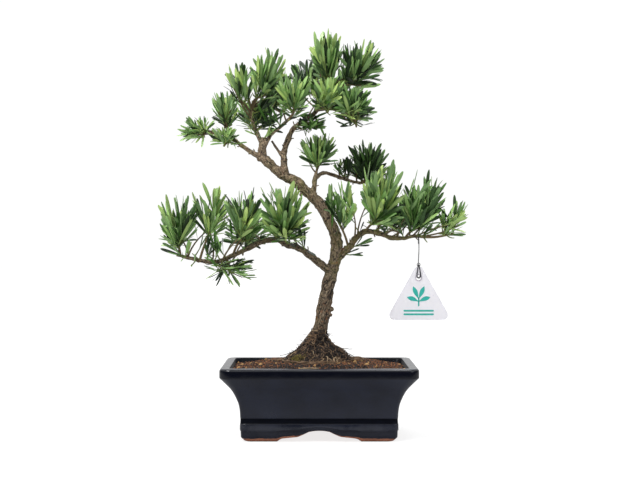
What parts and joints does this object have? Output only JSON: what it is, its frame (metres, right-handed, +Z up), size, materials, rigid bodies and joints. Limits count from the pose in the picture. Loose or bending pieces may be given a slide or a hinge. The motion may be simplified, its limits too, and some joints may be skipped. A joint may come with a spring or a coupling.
{
  "type": "podocarpus bonsai",
  "caption": "Podocarpus bonsai with an S-curved trunk and tufts of narrow leaves in a dark glazed rectangular pot on arched feet, with a blank tag hanging on a wire",
  "frame": {"origin": "On the ground, under the middle of the whole plant's box", "axes": "+X to the viewer's right in the picture, +Y away from the viewer, +Z up"},
  "size_m": [0.3846, 0.1776, 0.5056],
  "materials": {
    "bark": "rough fissured grey-brown bark",
    "leaf_young": "satin light green leaves",
    "leaf_mid": "satin green leaves",
    "leaf_dark": "satin dark green leaves",
    "glaze": "glossy near-black navy glaze with an unglazed foot edge",
    "soil": "granular brown potting soil",
    "wire": "dull dark wire",
    "tag_plastic": "smooth pale plastic, blank"
  },
  "bodies": {
    "plant": {"pot": "glaze", "soil": "soil", "trunk": "bark", "bough_lower_left": "bark", "bough_lower_right": "bark", "bough_stub": "bark", "bough_middle_right": "bark", "bough_leader": "bark", "bough_leader_spur": "bark", "bough_crown_right": "bark", "bough_crown_left": "bark", "bough_crown_left_upright": "bark", "bough_upper_left": "bark", "foliage_upper_left_tip": "leaf_mid", "foliage_upper_left_high": "leaf_mid", "foliage_upper_left_low": "leaf_young", "foliage_crown_left_outer": "leaf_mid", "foliage_crown_left_low": "leaf_dark", "foliage_crown_left_top": "leaf_young", "foliage_crown_front": "leaf_mid", "foliage_crown_back": "leaf_dark", "foliage_crown_top": "leaf_mid", "foliage_crown_right_top": "leaf_mid", "foliage_crown_middle": "leaf_young", "foliage_crown_right_low": "leaf_dark", "foliage_crown_front_right": "leaf_mid", "foliage_crown_inner_low": "leaf_dark", "foliage_crown_back_left": "leaf_mid", "foliage_crown_back_right": "leaf_mid", "foliage_stub": "leaf_mid", "foliage_middle_right": "leaf_dark", "foliage_middle_right_small": "leaf_dark", "foliage_lower_right_inner": "leaf_young", "foliage_lower_right_middle": "leaf_young", "foliage_lower_right_outer": "leaf_mid", "foliage_lower_right_tip": "leaf_young", "foliage_lower_right_back": "leaf_dark", "foliage_lower_left_tip": "leaf_mid", "foliage_lower_left_middle": "leaf_young", "foliage_lower_left_front": "leaf_mid", "foliage_lower_left_inner": "leaf_young", "foliage_lower_left_under": "leaf_dark", "foliage_lower_left_back": "leaf_mid"},
    "wire": {"tag_wire": "wire"},
    "tag": {"tag": "tag_plastic"}
  },
  "joints": [
    {"name": "wire_swing", "type": "hinge", "parent": "plant", "child": "wire", "pos_m": [0.134, -0.0038, 0.2486], "axis": [1, 0, 0], "range_deg": [-40, 40]},
    {"name": "tag_swing", "type": "hinge", "parent": "wire", "child": "tag", "pos_m": [0.134, -0.0038, 0.1969], "axis": [0, 1, 0], "range_deg": [-25, 25]}
  ]
}
